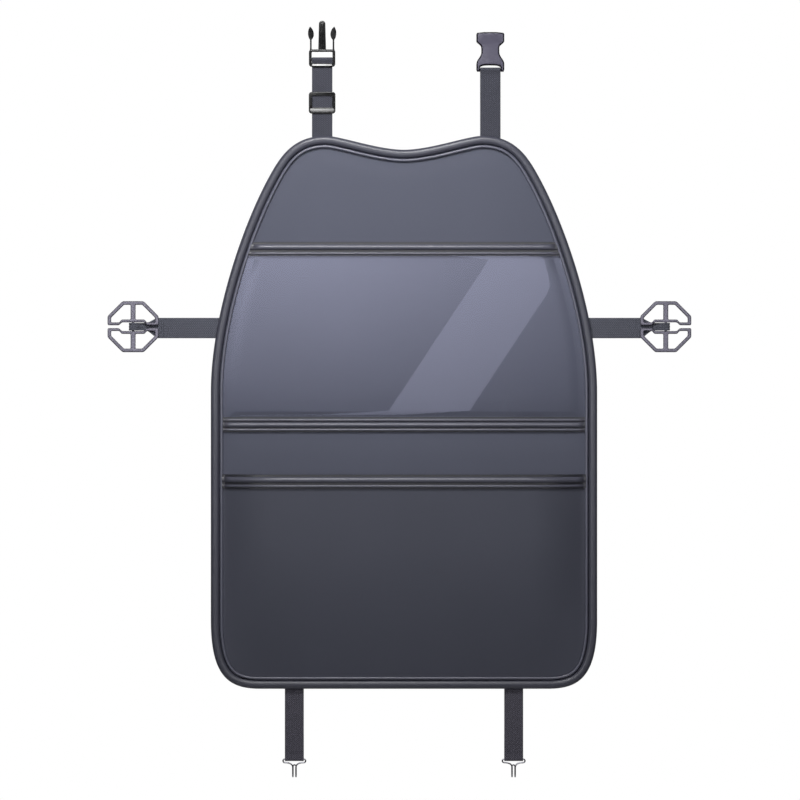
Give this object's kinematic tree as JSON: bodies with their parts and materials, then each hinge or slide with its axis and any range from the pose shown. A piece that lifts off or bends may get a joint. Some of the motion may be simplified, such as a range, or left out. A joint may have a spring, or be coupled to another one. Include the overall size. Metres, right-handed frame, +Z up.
{
  "type": "car seat back organizer",
  "caption": "Padded seat back cover with a rounded outline, a clear window pocket, a lower pocket, buckled headrest straps, side strap anchors and wire hooks.",
  "frame": {"origin": "middle of the panel's flat back, which lies against the seat back", "axes": "+Z up, towards the headrest straps; +X to the right seen from the front; +Y out of the back, towards the seat back, so the pockets face -Y"},
  "size_m": [0.7143, 0.032, 0.9271],
  "materials": {
    "lining_cloth": "plain woven lining cloth",
    "board": "plain stiffener board, hidden",
    "slate_leatherette": "slate grey coated leatherette with a fine grain",
    "clear_film": "clear flexible film, glossy, slightly smoky",
    "webbing": "dark grey woven webbing",
    "black_plastic": "black moulded plastic, satin gloss",
    "grey_plastic": "grey moulded plastic, satin",
    "bright_steel": "bright plated steel wire"
  },
  "bodies": {
    "panel": {"back_lining": "lining_cloth", "stiffener_board": "board", "face_panel": "slate_leatherette", "edge_binding": "slate_leatherette", "inner_piping": "slate_leatherette", "window_film": "clear_film", "window_mouth_trim": "slate_leatherette", "window_base_trim": "slate_leatherette", "lower_pocket": "slate_leatherette", "pocket_mouth_trim": "slate_leatherette", "top_strap_left": "webbing", "top_strap_right": "webbing", "side_strap_left": "webbing", "side_strap_right": "webbing", "bottom_strap_left": "webbing", "bottom_strap_right": "webbing"},
    "slider": {"strap_slider": "black_plastic"},
    "buckle_male": {"male_buckle": "black_plastic"},
    "buckle_female": {"female_buckle": "grey_plastic"},
    "anchor_left": {"side_anchor_left": "grey_plastic"},
    "anchor_right": {"side_anchor_right": "grey_plastic"},
    "hook_left_wire": {"hook_left": "bright_steel"},
    "hook_right_wire": {"hook_right": "bright_steel"}
  },
  "joints": [
    {"name": "slider_slide", "type": "slide", "parent": "panel", "child": "slider", "axis": [0, 0, 1], "range_m": [-0.025, 0.028]},
    {"name": "male_buckle_swing", "type": "hinge", "parent": "panel", "child": "buckle_male", "pos_m": [-0.1002, -0.00105, 0.4312], "axis": [-1, 0, 0], "range_deg": [0, 80]},
    {"name": "female_buckle_swing", "type": "hinge", "parent": "panel", "child": "buckle_female", "pos_m": [0.1057, -0.00095, 0.4189], "axis": [1, 0, 0], "range_deg": [-80, 80]},
    {"name": "anchor_left_turn", "type": "hinge", "parent": "panel", "child": "anchor_left", "pos_m": [-0.3315, -0.00435, 0.1035], "axis": [0, 0, -1], "range_deg": [0, 120]},
    {"name": "anchor_right_turn", "type": "hinge", "parent": "panel", "child": "anchor_right", "pos_m": [0.3203, -0.00435, 0.1035], "axis": [0, 0, 1], "range_deg": [0, 120]},
    {"name": "hook_left_swing", "type": "hinge", "parent": "panel", "child": "hook_left_wire", "pos_m": [-0.1343, -0.00095, -0.4251], "axis": [1, 0, 0], "range_deg": [-90, 90]},
    {"name": "hook_right_swing", "type": "hinge", "parent": "panel", "child": "hook_right_wire", "pos_m": [0.1343, -0.00095, -0.4251], "axis": [1, 0, 0], "range_deg": [-90, 90]}
  ]
}
